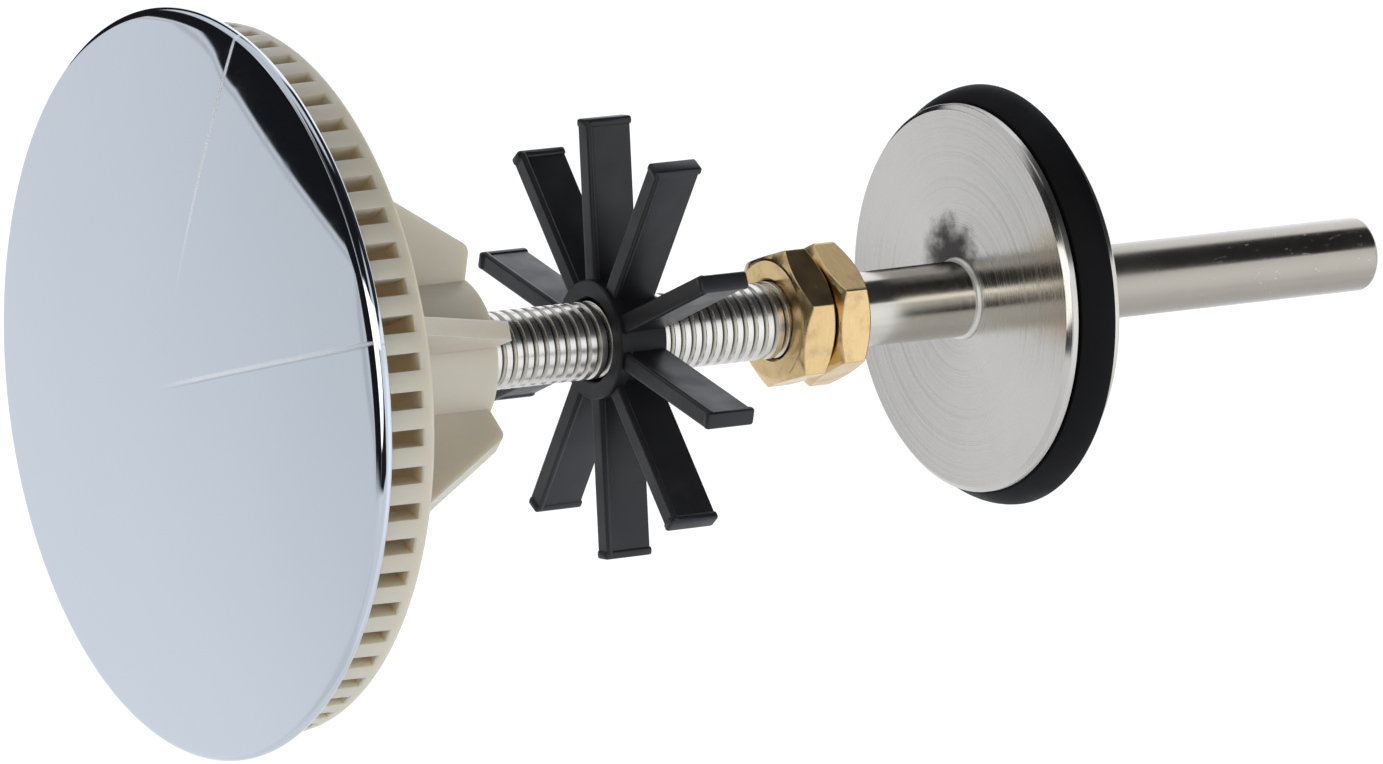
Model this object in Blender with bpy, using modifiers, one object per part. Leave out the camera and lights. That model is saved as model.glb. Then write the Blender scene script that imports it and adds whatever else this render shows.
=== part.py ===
"""Pop-up waste plug: chrome cover over a slotted strainer, on a threaded stem with a guide star,
two lock nuts and a rubber-sealed valve disc.

The plug stands as it is installed: +Z runs up the stem to the cover, and the origin is the centre
of the stem's lower end. All sizes are in metres and angles in degrees.
"""
from math import atan2, cos, degrees, pi, radians, sin, sqrt, tan

import bmesh
import bpy
from mathutils import Matrix, Vector

# Clearances
SEAT_GAP = 0.0003
RUNNING_GAP = 0.0001
CUT_OVERRUN = 0.001

# Stem: one rod, smooth below and threaded above
THREAD_RADIUS = 0.0040
SHANK_RADIUS = 0.00385
STEM_REACH_IN_HUB = 0.0184
STEM_END_ROUND = 0.0006
THREAD_END_CHAMFER = 0.0009
COLLAR_RADIUS = 0.0044
COLLAR_HEIGHT = 0.0008

# Valve: seal, the disc above it, the plate and the nut below it
SEAL_SEAT_HEIGHT = 0.0456
SEAL_RADIUS = 0.0218
SEAL_THICKNESS = 0.00355
SEAL_TOP_RADIUS = 0.0204
SEAL_SEAT_RADIUS = 0.0210
SEAL_LIP_HEIGHT = 0.0006
SEAL_LIP_ROUND = 0.0002
SEAL_BORE_RADIUS = 0.0043
DISC_RADIUS = 0.0201
DISC_THICKNESS = 0.0012
DISC_CHAMFER = 0.0005
PLATE_RADIUS = 0.0198
PLATE_THICKNESS = 0.0014
PLATE_EDGE_ROUND = 0.0003
PLATE_BED_DEPTH = 0.0002

# Hexagon nuts, all three alike
NUT_ACROSS_FLATS = 0.0130
NUT_THICKNESS = 0.0040
NUT_FACE_SHARE = 0.95
NUT_CHAMFER_ANGLE = 30.0
LOCK_NUT_TOP = 0.0739
UPPER_NUT_CORNER_ANGLE = -84.0
LOWER_NUT_CORNER_ANGLE = -74.5
CLAMP_NUT_CORNER_ANGLE = -60.0

# Guide star: a tube with flat arms, loose on the thread
STAR_HEIGHT = 0.0056
STAR_PLACE_SHARE = 0.5
STAR_BORE_RADIUS = 0.0047
STAR_TUBE_RADIUS = 0.0056
STAR_COLLAR_RADIUS = 0.0061
STAR_COLLAR_HEIGHT = 0.0012
STAR_RADIUS = 0.0224
STAR_ARMS = 10
STAR_FIRST_ARM_ANGLE = -79.0
ARM_THICKNESS = 0.0015
ARM_BEAD_THICKNESS = 0.0022
ARM_BEAD_WIDTH = 0.0011
ARM_BEAD_PROUD = 0.0002
ARM_BEAD_ROUND = 0.0004

# Cover: a shallow dome with a rolled rim and a spigot under it
COVER_RADIUS = 0.0375
COVER_RIM_HEIGHT = 0.1418
COVER_RISE = 0.0038
COVER_SHEET = 0.0008
COVER_ROLL = 0.0008
COVER_SKIRT = 0.0005
SPIGOT_WALL = 0.0010
SPIGOT_DEPTH = 0.0022

# Pressed sector of the cover, between two radial creases
SECTOR_START_ANGLE = -87.0
SECTOR_END_ANGLE = -27.0
SECTOR_INNER_RADIUS = 0.0060
SECTOR_DROP = 0.00025
CREASE_ANGLE = 0.5

# Strainer carrier: comb ring, hub and guide fins in one moulding
COMB_RADIUS = 0.0355
COMB_WALL = 0.0022
COMB_DEPTH = 0.00645
COMB_LIP = 0.0011
COMB_LIP_ROUND = 0.0005
SLOT_COUNT = 60
SLOT_SHARE = 0.46
FIRST_SLOT_ANGLE = -90.3
FLANGE_INNER_RADIUS = 0.0270
HUB_RADIUS = 0.0082
HUB_DEPTH = 0.0305
HUB_BORE_RADIUS = 0.0044
HUB_BORE_DEPTH = 0.0285
HUB_EDGE_ROUND = 0.0004
FIN_COUNT = 6
FIN_TEETH_FROM_FIRST_SLOT = 1.5
FIN_THICKNESS = 0.0019
FIN_TIP_RADIUS = 0.0118
FIN_ROOT_RADIUS = 0.0260
FIN_TIP_ROUND = 0.0014
FIN_STEP = 0.0003

# Threaded bush, moulded into the hub
BUSH_RADIUS = 0.0055
BUSH_LENGTH = 0.0120
BUSH_RECESS = 0.0003
BUSH_GROOVE_DEPTH = 0.0005
BUSH_GROOVE_SHARE = 0.2
BUSH_CHAMFER = 0.0004

# Places that follow the cover. The star hangs loose, halfway between the lock nuts and the hub.
COMB_BOTTOM = COVER_RIM_HEIGHT - COMB_DEPTH
HUB_BOTTOM = COVER_RIM_HEIGHT - HUB_DEPTH
STEM_LENGTH = HUB_BOTTOM + STEM_REACH_IN_HUB
STAR_MIDDLE = LOCK_NUT_TOP + (HUB_BOTTOM - LOCK_NUT_TOP) * STAR_PLACE_SHARE
STAR_TOP = STAR_MIDDLE + STAR_HEIGHT / 2

# Facets round a full turn
COVER_STEPS = 120
WIDE_STEPS = 60
NARROW_STEPS = 48
NUT_STEPS = 36
MERGE_DISTANCE = 0.00001

PARTS = bpy.data.collections.new("waste_plug")
CUTTERS = bpy.data.collections.new("cutters")


def clear_scene():
    for obj in list(bpy.data.objects):
        bpy.data.objects.remove(obj, do_unlink=True)
    for collection in (PARTS, CUTTERS):
        bpy.context.scene.collection.children.link(collection)


def finish_material(name, colour, roughness, metallic):
    material = bpy.data.materials.new(name)
    material.use_nodes = True
    shader = material.node_tree.nodes["Principled BSDF"]
    shader.inputs["Base Color"].default_value = (*colour, 1.0)
    shader.inputs["Roughness"].default_value = roughness
    shader.inputs["Metallic"].default_value = metallic
    material.diffuse_color = (*colour, 1.0)
    return material


def arc(centre, radius, start, end, pieces):
    """Points on a circle in the profile plane, from one angle to another."""
    points = []
    for i in range(pieces + 1):
        angle = radians(start + (end - start) * i / pieces)
        points.append((centre[0] + radius * cos(angle), centre[1] + radius * sin(angle)))
    return points


def new_object(name, mesh, collection):
    obj = bpy.data.objects.new(name, mesh)
    collection.objects.link(obj)
    if collection is CUTTERS:
        obj.hide_render = True
        obj.display_type = 'WIRE'
    return obj


def baked(obj):
    """Replace an object's data by its evaluated mesh, with its modifiers gone."""
    graph = bpy.context.evaluated_depsgraph_get()
    mesh = bpy.data.meshes.new_from_object(obj.evaluated_get(graph))
    obj.modifiers.clear()
    obj.data = mesh
    return obj


def turned(name, profile, steps, collection=PARTS, ring=True):
    """Turn a profile of (radius, height) points about Z. A ring's profile closes on itself."""
    mesh = bpy.data.meshes.new(name)
    points = [(radius, 0, height) for radius, height in profile]
    edges = [(i, i + 1) for i in range(len(points) - 1)]
    if ring:
        edges.append((len(points) - 1, 0))
    mesh.from_pydata(points, edges, [])
    obj = new_object(name, mesh, collection)
    screw = obj.modifiers.new("turn", 'SCREW')
    screw.steps = steps
    screw.render_steps = steps
    screw.use_merge_vertices = True
    screw.merge_threshold = MERGE_DISTANCE
    baked(obj)
    fix_normals(obj.data)
    return obj


def fix_normals(mesh):
    shape = bmesh.new()
    shape.from_mesh(mesh)
    bmesh.ops.recalc_face_normals(shape, faces=shape.faces)
    shape.to_mesh(mesh)
    shape.free()


def flat_plate(name, outline, thickness, collection):
    """Extrude a closed outline in the XY plane to both sides of it."""
    curve = bpy.data.curves.new(name, 'CURVE')
    curve.dimensions = '2D'
    curve.fill_mode = 'BOTH'
    curve.extrude = thickness / 2
    spline = curve.splines.new('POLY')
    spline.points.add(len(outline) - 1)
    for point, (x, y) in zip(spline.points, outline):
        point.co = (x, y, 0, 1)
    spline.use_cyclic_u = True
    source = bpy.data.objects.new(name, curve)
    CUTTERS.objects.link(source)
    graph = bpy.context.evaluated_depsgraph_get()
    mesh = bpy.data.meshes.new_from_object(source.evaluated_get(graph))
    bpy.data.objects.remove(source, do_unlink=True)
    shape = bmesh.new()
    shape.from_mesh(mesh)
    bmesh.ops.remove_doubles(shape, verts=shape.verts, dist=MERGE_DISTANCE)
    bmesh.ops.recalc_face_normals(shape, faces=shape.faces)
    shape.to_mesh(mesh)
    shape.free()
    return new_object(name, mesh, collection)


def block(name, low, high, collection, edge_round=0.0):
    """A box between two corners, with its edges rounded."""
    mesh = bpy.data.meshes.new(name)
    shape = bmesh.new()
    size = [b - a for a, b in zip(low, high)]
    centre = [(a + b) / 2 for a, b in zip(low, high)]
    placed = Matrix.Translation(centre) @ Matrix.Diagonal((*size, 1.0))
    bmesh.ops.create_cube(shape, size=1.0, matrix=placed)
    shape.to_mesh(mesh)
    shape.free()
    obj = new_object(name, mesh, collection)
    if edge_round:
        bevel = obj.modifiers.new("rounded edges", 'BEVEL')
        bevel.width = edge_round
        bevel.segments = 1
    return obj


def combine(obj, other, operation):
    boolean = obj.modifiers.new(operation.lower(), 'BOOLEAN')
    boolean.operation = operation
    boolean.solver = 'EXACT'
    boolean.object = other
    return obj


def turned_copies(name, source, angles, collection=CUTTERS):
    """One mesh holding a copy of the source turned to each angle about Z."""
    graph = bpy.context.evaluated_depsgraph_get()
    template = bpy.data.meshes.new_from_object(source.evaluated_get(graph))
    template.transform(source.matrix_world)
    joined = bmesh.new()
    for angle in angles:
        copy = template.copy()
        copy.transform(Matrix.Rotation(radians(angle), 4, 'Z'))
        joined.from_mesh(copy)
        bpy.data.meshes.remove(copy)
    mesh = bpy.data.meshes.new(name)
    joined.to_mesh(mesh)
    joined.free()
    bpy.data.objects.remove(source, do_unlink=True)
    return new_object(name, mesh, collection)


def finished(obj, material, height=0.0, angle=0.0, sharp=30.0):
    """Bake, shade and place a piece on the stem's axis."""
    baked(obj)
    obj.data.materials.clear()
    obj.data.materials.append(material)
    obj.data.shade_smooth()
    obj.data.set_sharp_from_angle(angle=radians(sharp))
    obj.location = (0, 0, height)
    obj.rotation_euler = (0, 0, radians(angle))
    return obj


# Stem

def disc_bottom():
    return SEAL_SEAT_HEIGHT + SEAL_THICKNESS + SEAT_GAP


def plate_bottom():
    return SEAL_SEAT_HEIGHT + PLATE_BED_DEPTH - SEAT_GAP - PLATE_THICKNESS


def clamp_nut_bottom():
    return plate_bottom() - SEAT_GAP - NUT_THICKNESS


def lower_nut_bottom():
    return LOCK_NUT_TOP - NUT_THICKNESS - SEAT_GAP - NUT_THICKNESS


def stem_rod(material):
    collar_bottom = disc_bottom() + DISC_THICKNESS + SEAT_GAP
    collar_top = collar_bottom + COLLAR_HEIGHT
    fillet = COLLAR_RADIUS - SHANK_RADIUS
    clamp_thread_start = clamp_nut_bottom() - THREAD_END_CHAMFER
    profile = [(0, STEM_LENGTH), (THREAD_RADIUS - THREAD_END_CHAMFER, STEM_LENGTH)]
    profile += [(THREAD_RADIUS, STEM_LENGTH - THREAD_END_CHAMFER)]
    profile += [(THREAD_RADIUS, lower_nut_bottom()), (SHANK_RADIUS, lower_nut_bottom() - SEAT_GAP)]
    profile += arc((COLLAR_RADIUS, collar_top), fillet, 180, 270, 2)[:-1]
    profile += [(COLLAR_RADIUS, collar_top - fillet), (COLLAR_RADIUS, collar_bottom)]
    profile += [(THREAD_RADIUS, collar_bottom), (THREAD_RADIUS, clamp_thread_start)]
    profile += [(SHANK_RADIUS, clamp_thread_start - SEAT_GAP)]
    profile += arc((SHANK_RADIUS - STEM_END_ROUND, STEM_END_ROUND), STEM_END_ROUND, 0, -90, 2)
    profile += [(0, 0)]
    rod = turned("stem_rod", profile, NARROW_STEPS, ring=False)
    return finished(rod, material)


# Valve

def valve_disc(material):
    bore = THREAD_RADIUS + RUNNING_GAP
    profile = [(bore, DISC_THICKNESS), (DISC_RADIUS - DISC_CHAMFER, DISC_THICKNESS)]
    profile += [(DISC_RADIUS, DISC_THICKNESS - DISC_CHAMFER), (DISC_RADIUS, 0), (bore, 0)]
    return finished(turned("valve_disc", profile, WIDE_STEPS), material, disc_bottom())


def seal_washer(material):
    """A rubber disc that flares to a lip. The clamped plate beds into it, and the ring outside seats."""
    bed_radius = PLATE_RADIUS + SEAT_GAP
    profile = [(SEAL_BORE_RADIUS, SEAL_THICKNESS), (SEAL_TOP_RADIUS, SEAL_THICKNESS)]
    profile += arc((SEAL_RADIUS - SEAL_LIP_ROUND, SEAL_LIP_HEIGHT), SEAL_LIP_ROUND, 30, -60, 3)
    profile += [(SEAL_SEAT_RADIUS, 0), (bed_radius, 0), (bed_radius, PLATE_BED_DEPTH)]
    profile += [(SEAL_BORE_RADIUS, PLATE_BED_DEPTH)]
    return finished(turned("seal_washer", profile, WIDE_STEPS), material, SEAL_SEAT_HEIGHT)


def seal_plate(material):
    bore = SEAL_BORE_RADIUS
    edge = PLATE_RADIUS - PLATE_EDGE_ROUND
    profile = [(bore, PLATE_THICKNESS), (PLATE_RADIUS, PLATE_THICKNESS)]
    profile += arc((edge, PLATE_EDGE_ROUND), PLATE_EDGE_ROUND, 0, -90, 2)
    profile += [(bore, 0)]
    return finished(turned("seal_plate", profile, WIDE_STEPS), material, plate_bottom())


# Nuts

def hexagon_nut(name, material, bottom, corner_angle):
    """A hexagon prism cut by a turned blank that has the bore and both chamfers."""
    corner_radius = NUT_ACROSS_FLATS / 2 / cos(pi / 6)
    face_radius = NUT_ACROSS_FLATS / 2 * NUT_FACE_SHARE
    blank_radius = corner_radius + SEAT_GAP
    chamfer = (blank_radius - face_radius) * tan(radians(NUT_CHAMFER_ANGLE))
    bore = THREAD_RADIUS + RUNNING_GAP
    profile = [(bore, NUT_THICKNESS), (face_radius, NUT_THICKNESS)]
    profile += [(blank_radius, NUT_THICKNESS - chamfer), (blank_radius, chamfer)]
    profile += [(face_radius, 0), (bore, 0)]
    blank = turned(name + "_blank", profile, NUT_STEPS, CUTTERS)
    mesh = bpy.data.meshes.new(name)
    shape = bmesh.new()
    height = NUT_THICKNESS + 2 * CUT_OVERRUN
    middle = Matrix.Translation((0, 0, NUT_THICKNESS / 2))
    bmesh.ops.create_cone(shape, cap_ends=True, segments=6, radius1=corner_radius,
                          radius2=corner_radius, depth=height, matrix=middle)
    shape.to_mesh(mesh)
    shape.free()
    nut = new_object(name, mesh, PARTS)
    combine(nut, blank, 'INTERSECT')
    return finished(nut, material, bottom, corner_angle - 90, sharp=20)


# Guide star

def star_arm():
    """One arm along +X: a plate with a bead on its upper edge and its tip."""
    root = (STAR_BORE_RADIUS + STAR_TUBE_RADIUS) / 2
    half = ARM_THICKNESS / 2
    bead = ARM_BEAD_THICKNESS / 2
    plate_end = STAR_RADIUS - ARM_BEAD_WIDTH / 2
    plate_top = STAR_HEIGHT - ARM_BEAD_WIDTH / 2
    arm = block("arm", (root, -half, ARM_BEAD_PROUD), (plate_end, half, plate_top), CUTTERS)
    edge = block("arm_edge", (root, -bead, STAR_HEIGHT - ARM_BEAD_WIDTH),
                 (STAR_RADIUS - ARM_BEAD_PROUD, bead, STAR_HEIGHT - ARM_BEAD_PROUD), CUTTERS, ARM_BEAD_ROUND)
    tip = block("arm_tip", (STAR_RADIUS - ARM_BEAD_WIDTH, -bead, 0),
                (STAR_RADIUS, bead, STAR_HEIGHT), CUTTERS, ARM_BEAD_ROUND)
    combine(arm, edge, 'UNION')
    combine(arm, tip, 'UNION')
    return arm


def guide_star(material):
    collar_bottom = STAR_HEIGHT - STAR_COLLAR_HEIGHT
    profile = [(STAR_BORE_RADIUS, STAR_HEIGHT + ARM_BEAD_PROUD)]
    profile += [(STAR_COLLAR_RADIUS, STAR_HEIGHT + ARM_BEAD_PROUD)]
    profile += [(STAR_COLLAR_RADIUS, collar_bottom), (STAR_TUBE_RADIUS, collar_bottom - ARM_BEAD_PROUD)]
    profile += [(STAR_TUBE_RADIUS, 0), (STAR_BORE_RADIUS, 0)]
    star = turned("guide_star", profile, NARROW_STEPS)
    angles = [STAR_FIRST_ARM_ANGLE + 360 * i / STAR_ARMS for i in range(STAR_ARMS)]
    arms = turned_copies("star_arms", star_arm(), angles)
    combine(star, arms, 'UNION')
    return finished(star, material, STAR_TOP - STAR_HEIGHT)


# Cover

def dome_radius():
    """Radius of the sphere that meets the rolled rim smoothly and rises to the crown."""
    inner = COVER_RADIUS - COVER_ROLL
    return (inner ** 2 + COVER_RISE ** 2 - COVER_ROLL ** 2) / (2 * (COVER_RISE - COVER_ROLL))


def dome_height(radius, offset=0.0):
    """Height above the rim plane of the dome, or of the surface that lies offset under it."""
    sphere = dome_radius()
    return COVER_RISE - sphere + sqrt((sphere - offset) ** 2 - radius ** 2)


def press_sector(mesh):
    """Lower the dome's outer skin between the two creases, more towards the rim."""
    shape = bmesh.new()
    shape.from_mesh(mesh)
    for angle in (SECTOR_START_ANGLE + CREASE_ANGLE, SECTOR_END_ANGLE - CREASE_ANGLE):
        across = (-sin(radians(angle)), cos(radians(angle)), 0)
        everything = shape.verts[:] + shape.edges[:] + shape.faces[:]
        bmesh.ops.bisect_plane(shape, geom=everything, dist=MERGE_DISTANCE / 10,
                               plane_co=(0, 0, 0), plane_no=across)
    edge = CREASE_ANGLE / 2
    for vertex in shape.verts:
        radius = Vector(vertex.co[:2]).length
        angle = degrees(atan2(vertex.co.y, vertex.co.x))
        inside = SECTOR_START_ANGLE + edge < angle < SECTOR_END_ANGLE - edge
        outer_skin = vertex.co.z > dome_height(min(radius, COVER_RADIUS), COVER_SHEET / 2)
        on_rim = radius > COVER_RADIUS - COVER_ROLL and vertex.co.z >= 0
        if inside and radius > SECTOR_INNER_RADIUS and (outer_skin or on_rim):
            reach = (radius - SECTOR_INNER_RADIUS) / (COVER_RADIUS - SECTOR_INNER_RADIUS)
            vertex.co.z -= SECTOR_DROP * reach
    shape.to_mesh(mesh)
    shape.free()


def comb_inner_radius():
    return COMB_RADIUS - COMB_WALL


def cover_cap(material):
    sphere = dome_radius()
    roll_centre = (COVER_RADIUS - COVER_ROLL, 0)
    tangent = degrees(atan2(sphere - COVER_RISE, COVER_RADIUS - COVER_ROLL))
    spigot_outer = comb_inner_radius() - SEAT_GAP
    spigot_inner = spigot_outer - SPIGOT_WALL
    spigot_end = dome_height(spigot_outer, COVER_SHEET) - SPIGOT_DEPTH
    inside = COVER_RADIUS - COVER_SHEET
    under = [(share * spigot_inner, dome_height(share * spigot_inner, COVER_SHEET))
             for share in (1, 1 / 2, 0)]
    profile = arc((0, COVER_RISE - sphere), sphere, 90, tangent, 4)
    profile += arc(roll_centre, COVER_ROLL, tangent, 0, 3)[1:]
    profile += [(COVER_RADIUS, -COVER_SKIRT), (inside, -COVER_SKIRT)]
    profile += [(inside, dome_height(inside, COVER_SHEET))]
    profile += [(spigot_outer, dome_height(spigot_outer, COVER_SHEET))]
    profile += [(spigot_outer, spigot_end), (spigot_inner, spigot_end)] + under
    cap = turned("cover_cap", profile, COVER_STEPS, ring=False)
    press_sector(cap.data)
    return finished(cap, material, COVER_RIM_HEIGHT, sharp=1)


# Strainer carrier

def fin_angles():
    """The fins stand behind teeth, so each is some whole slots and a half from the first slot."""
    first = FIRST_SLOT_ANGLE + FIN_TEETH_FROM_FIRST_SLOT * 360 / SLOT_COUNT
    return [first + 360 * i / FIN_COUNT for i in range(FIN_COUNT)]


def comb_ring():
    """The wall and its inner flange, with slots cut from above. Height 0 is its lower face."""
    under_dome = COVER_RIM_HEIGHT + dome_height(COMB_RADIUS, COVER_SHEET) - SEAT_GAP
    top = under_dome - COMB_BOTTOM
    lip = COMB_RADIUS - COMB_LIP_ROUND
    profile = [(comb_inner_radius(), top), (COMB_RADIUS, top)]
    profile += arc((lip, COMB_LIP_ROUND), COMB_LIP_ROUND, 0, -90, 2)
    profile += [(FLANGE_INNER_RADIUS, 0), (FLANGE_INNER_RADIUS, COMB_LIP), (comb_inner_radius(), COMB_LIP)]
    ring = turned("strainer_carrier", profile, COVER_STEPS)
    slot_width = 2 * pi * COMB_RADIUS / SLOT_COUNT * SLOT_SHARE
    low = (comb_inner_radius() - COMB_WALL / 2, -slot_width / 2, COMB_LIP + SEAT_GAP)
    slot = block("slot", low, (COMB_RADIUS + CUT_OVERRUN, slot_width / 2, top + CUT_OVERRUN), CUTTERS)
    angles = [FIRST_SLOT_ANGLE + 360 * i / SLOT_COUNT for i in range(SLOT_COUNT)]
    combine(ring, turned_copies("slots", slot, angles), 'DIFFERENCE')
    return baked(ring)


def fin(hub_bottom, fin_top):
    """One fin along +X, its outline in radius and height, measured from the comb's lower face."""
    root = HUB_RADIUS - FIN_THICKNESS
    bottom = hub_bottom + FIN_STEP
    taper = atan2(-bottom, FIN_ROOT_RADIUS - FIN_TIP_RADIUS)
    turn = pi / 2 - taper / 2
    centre = (FIN_TIP_RADIUS - FIN_TIP_ROUND / tan(turn), bottom + FIN_TIP_ROUND)
    outline = [(root, bottom)]
    outline += arc(centre, FIN_TIP_ROUND, -90, degrees(taper) - 90, 3)
    outline += [(FIN_ROOT_RADIUS, FIN_STEP), (COMB_RADIUS - COMB_WALL / 2, FIN_STEP)]
    outline += [(COMB_RADIUS - COMB_WALL / 2, fin_top), (root, fin_top)]
    plate = flat_plate("fin", outline, FIN_THICKNESS, CUTTERS)
    plate.data.transform(Matrix.Rotation(radians(90), 4, 'X'))
    return plate


def strainer_carrier(material):
    carrier = comb_ring()
    hub_bottom = HUB_BOTTOM - COMB_BOTTOM
    hub_top = COVER_RIM_HEIGHT + dome_height(HUB_RADIUS, COVER_SHEET) - SEAT_GAP - COMB_BOTTOM
    spigot_radius = comb_inner_radius() - SEAT_GAP
    spigot_end = COVER_RIM_HEIGHT + dome_height(spigot_radius, COVER_SHEET) - SPIGOT_DEPTH
    fin_top = spigot_end - SEAT_GAP - COMB_BOTTOM
    fins = turned_copies("fins", fin(hub_bottom, fin_top), fin_angles())
    edge = HUB_RADIUS - HUB_EDGE_ROUND
    pocket_radius = BUSH_RADIUS + SEAT_GAP
    pocket_top = hub_bottom + BUSH_RECESS + BUSH_LENGTH + SEAT_GAP
    bore_top = hub_bottom + HUB_BORE_DEPTH
    profile = [(0, hub_top), (HUB_RADIUS, hub_top), (HUB_RADIUS, hub_bottom + HUB_EDGE_ROUND)]
    profile += [(edge, hub_bottom), (pocket_radius, hub_bottom), (pocket_radius, pocket_top)]
    profile += [(HUB_BORE_RADIUS, pocket_top), (HUB_BORE_RADIUS, bore_top), (0, bore_top)]
    hub = turned("hub", profile, NARROW_STEPS, CUTTERS, ring=False)
    combine(hub, fins, 'UNION')
    baked(hub)
    combine(carrier, hub, 'UNION')
    return finished(carrier, material, COMB_BOTTOM)


def threaded_bush(material):
    bore = THREAD_RADIUS + RUNNING_GAP
    groove = BUSH_RADIUS - BUSH_GROOVE_DEPTH
    groove_half = BUSH_LENGTH * BUSH_GROOVE_SHARE / 2
    middle = BUSH_LENGTH / 2
    profile = [(bore + BUSH_CHAMFER, BUSH_LENGTH), (BUSH_RADIUS, BUSH_LENGTH)]
    profile += [(BUSH_RADIUS, middle + groove_half), (groove, middle + groove_half)]
    profile += [(groove, middle - groove_half), (BUSH_RADIUS, middle - groove_half)]
    profile += [(BUSH_RADIUS, 0), (bore + BUSH_CHAMFER, 0), (bore, BUSH_CHAMFER)]
    profile += [(bore, BUSH_LENGTH - BUSH_CHAMFER)]
    bush = turned("threaded_bush", profile, NUT_STEPS)
    return finished(bush, material, HUB_BOTTOM + BUSH_RECESS)


def build():
    clear_scene()
    chrome = finish_material("chrome", (0.62, 0.66, 0.70), 0.05, 1.0)
    ivory = finish_material("ivory plastic", (0.58, 0.54, 0.44), 0.45, 0.0)
    nickel = finish_material("nickel plate", (0.60, 0.57, 0.52), 0.22, 1.0)
    brass = finish_material("brass", (0.74, 0.55, 0.28), 0.30, 1.0)
    black_plastic = finish_material("black plastic", (0.022, 0.022, 0.026), 0.40, 0.0)
    rubber = finish_material("black rubber", (0.012, 0.012, 0.013), 0.60, 0.0)
    upper_nut_bottom = LOCK_NUT_TOP - NUT_THICKNESS
    stem_rod(nickel)
    valve_disc(nickel)
    seal_washer(rubber)
    seal_plate(nickel)
    hexagon_nut("clamp_nut", nickel, clamp_nut_bottom(), CLAMP_NUT_CORNER_ANGLE)
    hexagon_nut("lower_lock_nut", brass, lower_nut_bottom(), LOWER_NUT_CORNER_ANGLE)
    hexagon_nut("upper_lock_nut", brass, upper_nut_bottom, UPPER_NUT_CORNER_ANGLE)
    guide_star(black_plastic)
    threaded_bush(brass)
    strainer_carrier(ivory)
    cover_cap(chrome)


build()
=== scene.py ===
"""Looks of the pop-up waste plug: smooth shells, thread, edges, finishes, light and camera.

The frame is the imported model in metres. +Z runs up the stem to the cover, +X is up in the photograph, and -Y
points to the photograph's viewer.
"""

from math import atan2, cos, degrees, pi, radians, sin, sqrt, tan

import bmesh
import bpy
from mathutils import Matrix, Vector


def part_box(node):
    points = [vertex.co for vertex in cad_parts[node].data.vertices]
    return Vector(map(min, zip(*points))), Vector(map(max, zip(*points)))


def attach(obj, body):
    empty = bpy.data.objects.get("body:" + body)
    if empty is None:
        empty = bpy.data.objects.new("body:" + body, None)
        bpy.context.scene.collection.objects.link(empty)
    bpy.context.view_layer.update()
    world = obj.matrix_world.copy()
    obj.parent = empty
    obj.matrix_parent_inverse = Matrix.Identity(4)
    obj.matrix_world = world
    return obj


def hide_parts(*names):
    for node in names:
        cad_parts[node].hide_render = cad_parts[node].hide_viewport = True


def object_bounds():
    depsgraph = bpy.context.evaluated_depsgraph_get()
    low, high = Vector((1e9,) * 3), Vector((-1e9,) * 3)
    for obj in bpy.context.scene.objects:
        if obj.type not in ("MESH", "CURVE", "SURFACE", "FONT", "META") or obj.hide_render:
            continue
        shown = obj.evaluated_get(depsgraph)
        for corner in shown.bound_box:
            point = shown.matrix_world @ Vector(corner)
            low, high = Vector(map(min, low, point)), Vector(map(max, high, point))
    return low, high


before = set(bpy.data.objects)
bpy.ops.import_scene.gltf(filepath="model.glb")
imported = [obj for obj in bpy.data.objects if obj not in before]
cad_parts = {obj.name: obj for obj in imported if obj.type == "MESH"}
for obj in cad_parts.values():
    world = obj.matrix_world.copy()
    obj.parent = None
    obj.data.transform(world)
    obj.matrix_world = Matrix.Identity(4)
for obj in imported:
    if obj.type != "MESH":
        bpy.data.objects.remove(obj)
CAD_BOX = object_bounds()

# Places read from the frame
COVER_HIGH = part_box("cover_cap")[1]
CARRIER_LOW, CARRIER_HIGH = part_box("strainer_carrier")
STEM_LOW, STEM_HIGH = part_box("stem_rod")
DISC_LOW, DISC_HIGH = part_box("valve_disc")
SEAL_LOW, SEAL_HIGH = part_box("seal_washer")
PLATE_LOW, PLATE_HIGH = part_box("seal_plate")
STAR_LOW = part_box("guide_star")[0]
UPPER_NUT_LOW, UPPER_NUT_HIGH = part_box("upper_lock_nut")
LOWER_NUT_LOW, LOWER_NUT_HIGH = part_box("lower_lock_nut")
CLAMP_NUT_LOW, CLAMP_NUT_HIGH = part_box("clamp_nut")

# Sizes of the pieces, in metres and degrees
MM = 0.001
CLEAR = 0.02 * MM
MERGE = 0.0005 * MM

COVER_RADIUS = 37.5 * MM
COVER_RISE = 3.8 * MM
RIM_HEIGHT = COVER_HIGH.z - COVER_RISE
SHEET = 0.8 * MM
ROLL = 0.8 * MM
CURL = 0.5 * MM
SKIRT = 0.5 * MM
SPIGOT_OUTER = 33.0 * MM
SPIGOT_WALL = 1.0 * MM
SPIGOT_DEPTH = 2.2 * MM
SECTOR_START = -87.0
SECTOR_END = -27.0
SECTOR_INNER = 6.0 * MM
SECTOR_DROP = 0.02 * MM
CREASE_HALF_WIDTH = 2.5 * MM

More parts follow.
